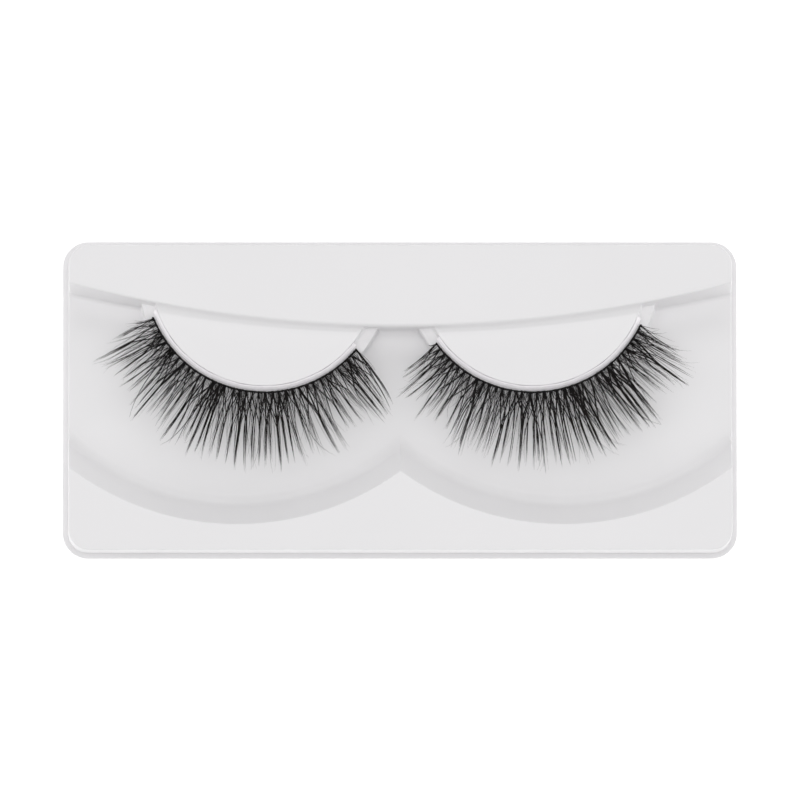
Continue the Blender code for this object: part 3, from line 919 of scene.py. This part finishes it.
def makeTrayPlastic():
    material, tree, shader = newMaterial("whiteTrayPlastic")
    finish = trayFinish
    place = tree.nodes.new("ShaderNodeTexCoord")
    cloud = addNode(tree, "ShaderNodeTexNoise", Scale=finish["cloudScale"], Detail=finish["cloudDetail"])
    shade = addRamp(tree, finish["shades"], finish["shadePlaces"])
    specks = addNode(tree, "ShaderNodeTexVoronoi", Scale=finish["speckScale"])
    dot = addRange(tree, finish["speckSize"], ("From Min", "From Max"))
    chance = addNode(tree, "ShaderNodeSeparateColor")
    free = addNode(tree, "ShaderNodeMath", operation="LESS_THAN")
    free.inputs[1].default_value = finish["speckFree"]
    either = addNode(tree, "ShaderNodeMath", operation="MAXIMUM")
    dirt = addNode(tree, "ShaderNodeMix", data_type="RGBA")
    dirt.inputs[6].default_value = finish["speckColour"]
    gloss = addRange(tree, finish["gloss"])
    grain = addNode(tree, "ShaderNodeTexNoise", Scale=finish["grainScale"], Detail=finish["grainDetail"])
    bump = addNode(tree, "ShaderNodeBump", Strength=finish["grainStrength"], Distance=finish["grainDepth"])
    link = tree.links.new
    for texture in (cloud, specks, grain):
        link(place.outputs["Object"], texture.inputs["Vector"])
    link(cloud.outputs["Fac"], shade.inputs["Fac"])
    link(specks.outputs["Distance"], dot.inputs["Value"])
    link(specks.outputs["Color"], chance.inputs["Color"])
    link(chance.outputs["Red"], free.inputs[0])
    link(dot.outputs["Result"], either.inputs[0])
    link(free.outputs["Value"], either.inputs[1])
    link(either.outputs["Value"], dirt.inputs[0])
    link(shade.outputs["Color"], dirt.inputs[7])
    link(dirt.outputs[2], shader.inputs["Base Color"])
    link(cloud.outputs["Fac"], gloss.inputs["Value"])
    link(gloss.outputs["Result"], shader.inputs["Roughness"])
    link(grain.outputs["Fac"], bump.inputs["Height"])
    link(bump.outputs["Normal"], shader.inputs["Normal"])
    shader.inputs["IOR"].default_value = finish["refraction"]
    return material


def makeLashFibre():
    # Darkest at the root, and a little different from hair to hair
    material, tree, shader = newMaterial("blackLashFibre")
    along = addNode(tree, "ShaderNodeAttribute", attribute_name="along")
    tint = addNode(tree, "ShaderNodeAttribute", attribute_name="tint")
    run = addRamp(tree, fibreFinish["shades"])
    vary = addRange(tree, fibreFinish["tintShift"])
    total = addNode(tree, "ShaderNodeMath", operation="ADD", use_clamp=True)
    gloss = addRange(tree, fibreFinish["gloss"])
    link = tree.links.new
    link(tint.outputs["Fac"], vary.inputs["Value"])
    link(along.outputs["Fac"], total.inputs[0])
    link(vary.outputs["Result"], total.inputs[1])
    link(total.outputs["Value"], run.inputs["Fac"])
    link(run.outputs["Color"], shader.inputs["Base Color"])
    link(tint.outputs["Fac"], gloss.inputs["Value"])
    link(gloss.outputs["Result"], shader.inputs["Roughness"])
    shader.inputs["Specular IOR Level"].default_value = fibreFinish["shine"]
    return material


def makeFinish(name, finish):
    material, tree, shader = newMaterial(name)
    place = tree.nodes.new("ShaderNodeTexCoord")
    noise = addNode(tree, "ShaderNodeTexNoise", Scale=finish["scale"], Detail=finish["detail"])
    ramp = addRamp(tree, finish["shades"])
    link = tree.links.new
    link(place.outputs["Object"], noise.inputs["Vector"])
    link(noise.outputs["Fac"], ramp.inputs["Fac"])
    link(ramp.outputs["Color"], shader.inputs["Base Color"])
    for socket, span in finish["varies"].items():
        vary = addRange(tree, span)
        link(noise.outputs["Fac"], vary.inputs["Value"])
        link(vary.outputs["Result"], shader.inputs[socket])
    for socket, value in finish["steady"].items():
        shader.inputs[socket].default_value = value
    return material


def dress(piece, material):
    piece.data.materials.clear()
    piece.data.materials.append(material)


dress(tray, makeTrayPlastic())
lashFibre = makeLashFibre()
rootThread = makeFinish("blackRootThread", threadFinish)
clearBand = makeFinish("clearBand", bandFinishWithPaintedGlow)
for piece in (leftLashes, rightLashes):
    dress(piece, lashFibre)
for piece in (leftRoots, rightRoots):
    dress(piece, rootThread)
for piece in (leftBand, rightBand):
    dress(piece, clearBand)
print("finishes ready")


# Every piece rides on the one body, and takes the place of its plain solid where it has one

tray.name = "traySheet"
pieceTable = (
    (tray, "tray_plastic", "tray"),
    (leftBand, "clear_band", "left_band"),
    (rightBand, "clear_band", "right_band"),
    (leftLashes, "lash_fibre", "left_fringe"),
    (rightLashes, "lash_fibre", "right_fringe"),
    (leftRoots, "lash_fibre", None),
    (rightRoots, "lash_fibre", None),
)
for piece, slot, node in pieceTable:
    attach(piece, bodyName)
    if node:
        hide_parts(node)


# Floor, lights and camera

stagePlan = {
    "floorSize": 4.0,
    "domeLight": 0.24,
    "domeColour": (1.0, 1.0, 1.0, 1),
    "topPower": 13.0,
    "topSize": (1.3, 2.6),
    "topPlace": (-0.08, 0, 1.5),
    "sideReach": 1.0,
    "sideHeight": 0.22,
    "sideSize": (1.0, 0.4),
    "leftPower": 2.6,
    "rightPower": 3.0,
    "endReach": 1.0,
    "endHeight": 0.7,
    "frontPower": 1.9,
    "backPower": 2.9,
    "cameraReach": 1.8,
    "frameWidth": 124.54 * mm,
    "cameraBack": math.radians(3.4),
    "cameraLeft": math.radians(0.7),
    "aimHeight": 1.0 * mm,
    "sensor": 36,
    "clipNear": 0.05,
    "clipFar": 20,
}


def makeStage():
    clearSelection()
    bpy.ops.mesh.primitive_plane_add(size=stagePlan["floorSize"])
    floor = bpy.context.object
    floor.name = "floor"
    dress(floor, makeFinish("floorPaper", paperFinish))
    world = bpy.data.worlds.new("studio")
    bpy.context.scene.world = world
    world.use_nodes = True
    sky = world.node_tree.nodes["Background"]
    sky.inputs["Color"].default_value = stagePlan["domeColour"]
    sky.inputs["Strength"].default_value = stagePlan["domeLight"]
    bpy.context.scene.view_settings.view_transform = "Standard"
    bpy.context.scene.view_settings.look = "None"


def addSoftbox(name, place, size, power):
    bpy.ops.object.light_add(type="AREA", location=place)
    box = bpy.context.object
    box.name = name
    box.data.shape = "RECTANGLE"
    box.data.size, box.data.size_y = size
    box.data.energy = power
    box.rotation_euler = (-Vector(place)).to_track_quat("-Z", "Y").to_euler()
    return box


def addLights():
    addSoftbox("topLight", stagePlan["topPlace"], stagePlan["topSize"], stagePlan["topPower"])
    sideReach, sideHeight = stagePlan["sideReach"], stagePlan["sideHeight"]
    addSoftbox("leftLight", (-sideReach, 0, sideHeight), stagePlan["sideSize"], stagePlan["leftPower"])
    addSoftbox("rightLight", (sideReach, 0, sideHeight), stagePlan["sideSize"], stagePlan["rightPower"])
    endReach, endHeight = stagePlan["endReach"], stagePlan["endHeight"]
    addSoftbox("frontLight", (0, -endReach, endHeight), stagePlan["sideSize"], stagePlan["frontPower"])
    addSoftbox("backLight", (0, endReach, endHeight), stagePlan["sideSize"], stagePlan["backPower"])


def addCamera():
    left, back = math.tan(stagePlan["cameraLeft"]), math.tan(stagePlan["cameraBack"])
    away = Vector((-left, -back, 1)).normalized()
    target = Vector((0, 0, stagePlan["aimHeight"]))
    bpy.ops.object.camera_add(location=target + away * stagePlan["cameraReach"])
    camera = bpy.context.object
    right = (Vector((1, 0, 0)) - away * away.x).normalized()
    up = away.cross(right)
    turn = Matrix((right, up, away)).transposed()
    camera.rotation_euler = turn.to_euler()
    camera.data.sensor_width = stagePlan["sensor"]
    camera.data.lens = stagePlan["sensor"] * stagePlan["cameraReach"] / stagePlan["frameWidth"]
    camera.data.clip_start = stagePlan["clipNear"]
    camera.data.clip_end = stagePlan["clipFar"]
    bpy.context.scene.camera = camera


makeStage()
addLights()
addCamera()
print("stage ready")
